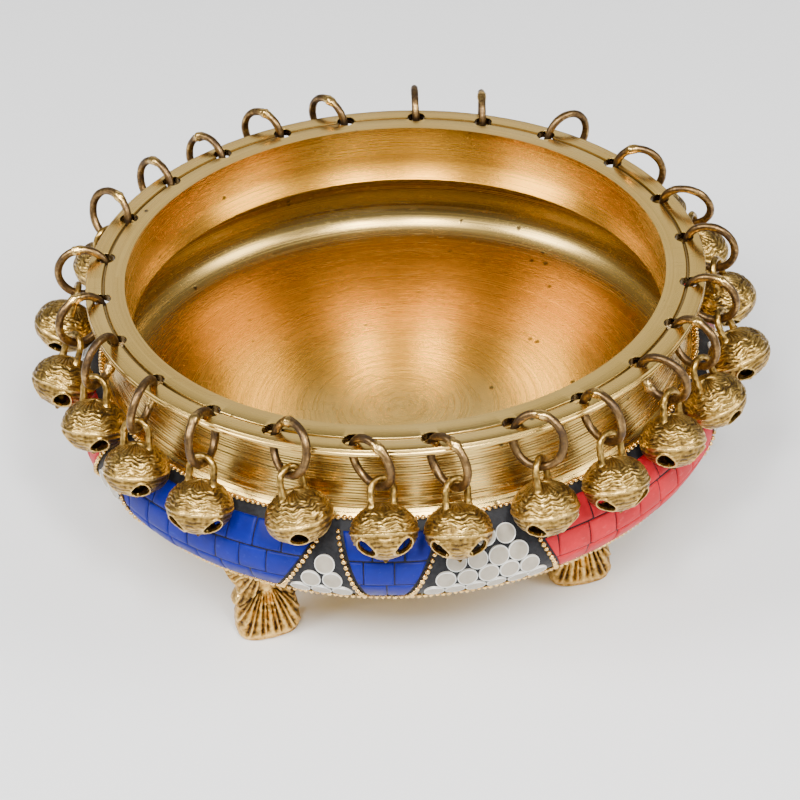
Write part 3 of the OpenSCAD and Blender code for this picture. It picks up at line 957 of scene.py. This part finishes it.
def make_bell(k, meshes):
    hang = JOINTS[f"bell_{k}_swing"]
    pivot = np.array(hang["pos_m"])
    x = np.array(hang["axis"])
    points = np.array([v.co for v in frame["nodes"][f"bell_{k}"].data.vertices])
    tip = points[np.argmax(np.linalg.norm(points - pivot, axis=1))]
    z = (pivot - tip) - ((pivot - tip) @ x) * x
    z /= np.linalg.norm(z)
    y = np.cross(z, x)
    centre = pivot - BELL_HANG * MM * z
    place = Matrix([[x[i], y[i], z[i], centre[i]] for i in range(3)] + [[0, 0, 0, 1]])
    # Two openings straddle the side that faces out, or forward at the sides.
    # A few bells show one opening there.
    out = centre[:2] / np.linalg.norm(centre[:2]) - np.array([0, 0.9])
    outward = math.atan2(out @ y[:2], out @ x[:2])
    quarter = 0 if k in (5, 9, 14, 23) else math.pi / 4
    spin = outward + quarter + random.Random(k).uniform(-0.15, 0.15)
    for kind, mesh in zip(("body", "loop", "pellet"), meshes):
        obj = bpy.data.objects.new(f"jingle_{kind}_{k}", mesh)
        bpy.context.scene.collection.objects.link(obj)
        obj.matrix_world = place @ Matrix.Rotation(spin, 4, "Z") if kind == "body" else place
        if kind == "body":
            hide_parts(f"bell_{k}")
        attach(obj, f"bell_{k}")


# ---------------------------------------------------------------- stage

def make_stage():
    half = 3000
    corners = [(-half, -half, 0), (half, -half, 0), (half, half, 0), (-half, half, 0)]
    floor = build("floor", corners, [(0, 1, 2, 3)], pale_floor())
    world = bpy.data.worlds.new("studio")
    bpy.context.scene.world = world
    world.use_nodes = True
    background = world.node_tree.nodes["Background"]
    background.inputs["Color"].default_value = (1, 1, 1, 1)
    background.inputs["Strength"].default_value = 0.24


def softbox(name, at, to, size, watts):
    light = bpy.data.lights.new(name, "AREA")
    light.shape, light.size, light.size_y = "RECTANGLE", size[0], size[1]
    light.energy = watts
    obj = bpy.data.objects.new(name, light)
    bpy.context.scene.collection.objects.link(obj)
    obj.location = at
    obj.rotation_euler = (Vector(to) - Vector(at)).to_track_quat("-Z", "Y").to_euler()


def make_lights():
    """Two tall lamps high in front, whose light the back wall throws on the bowl's floor, and soft panels."""
    middle = (0, 0, RIM * MM)
    softbox("lamp_left", (-0.27, -0.95, 1.28), middle, (0.20, 0.5), 22)
    softbox("lamp_right", (0.27, -0.95, 1.28), middle, (0.20, 0.5), 22)
    softbox("back_panel", (0, 1.9, 1.25), middle, (2.6, 0.9), 8)
    softbox("key", (-1.2, -0.5, 1.1), middle, (0.6, 0.6), 26)
    softbox("fill", (1.2, -0.5, 1.0), middle, (0.6, 0.6), 18)
    softbox("front_panel", (0.35, -1.3, 0.22), middle, (0.6, 0.35), 3)


def make_camera():
    """The photograph's view: a long lens from the front, 33 degrees above the rim."""
    tilt, roll = 0.575380, -0.0464894
    pan, drop = -0.002016, 0.0522267
    distance, focal, picture, sensor = 852.9, 2600.0, 800, 36
    back = np.array([0, -math.cos(tilt), math.sin(tilt)])
    right, up = np.array([1.0, 0, 0]), np.array([0, math.sin(tilt), math.cos(tilt)])
    c, s = math.cos(roll), math.sin(roll)
    view = np.array([c * right + s * up, -s * right + c * up, -back])
    a = np.array([[math.cos(pan), 0, math.sin(pan)], [0, 1, 0], [-math.sin(pan), 0, math.cos(pan)]])
    b = np.array([[1, 0, 0], [0, math.cos(drop), math.sin(drop)], [0, -math.sin(drop), math.cos(drop)]])
    view = b @ a @ view
    where = back * distance * MM + np.array([0, 0, RIM * MM])
    camera = bpy.data.cameras.new("camera")
    camera.sensor_width = sensor
    camera.lens = sensor * focal / picture
    camera.clip_start = 0.01
    obj = bpy.data.objects.new("camera", camera)
    bpy.context.scene.collection.objects.link(obj)
    rows = [[view[0][i], view[1][i], -view[2][i], where[i]] for i in range(3)]
    obj.matrix_world = Matrix(rows + [[0, 0, 0, 1]])
    bpy.context.scene.camera = obj


def main():
    blue = inlay("blue_brick", (0.002, 0.007, 0.25), (0.001, 0.004, 0.14), (0.05, 0.08, 0.34))
    red = inlay("red_brick", (0.58, 0.010, 0.022), (0.36, 0.006, 0.010), (0.70, 0.16, 0.15))
    bead_metal = cast_brass("bead_brass", (0.85, 0.56, 0.20), (0.62, 0.38, 0.12), (0.12, 0.06, 0.02),
                            0.22, 0.40)
    foot_metal = cast_brass("foot_brass", (0.82, 0.54, 0.17), (0.50, 0.29, 0.07), (0.055, 0.024, 0.006),
                            0.28, 0.5, 700.0)
    ring_metal = cast_brass("ring_brass", (0.72, 0.47, 0.15), (0.22, 0.13, 0.05), (0.06, 0.034, 0.017),
                            0.26, 0.44, 1000.0, 0.22)
    bell_metal = cast_brass("bell_brass", (0.64, 0.42, 0.12), (0.29, 0.175, 0.042), (0.045, 0.023, 0.006),
                            0.27, 0.48, 900.0)
    make_bowl(turned_brass())
    make_lac_bed(lac())
    make_bricks("blue", blue)
    make_bricks("red", red)
    make_discs(disc_shell())
    make_beads(bead_metal)
    for index in range(len(FEET)):
        make_foot(index, foot_metal)
    for k in range(1, BELLS + 1):
        make_ring(k, ring_metal)
    kinds = [bell_meshes(seed, bell_metal) for seed in (1, 2, 3)]
    for k in range(1, BELLS + 1):
        make_bell(k, kinds[k % 3])
    make_stage()
    make_lights()
    make_camera()


main()
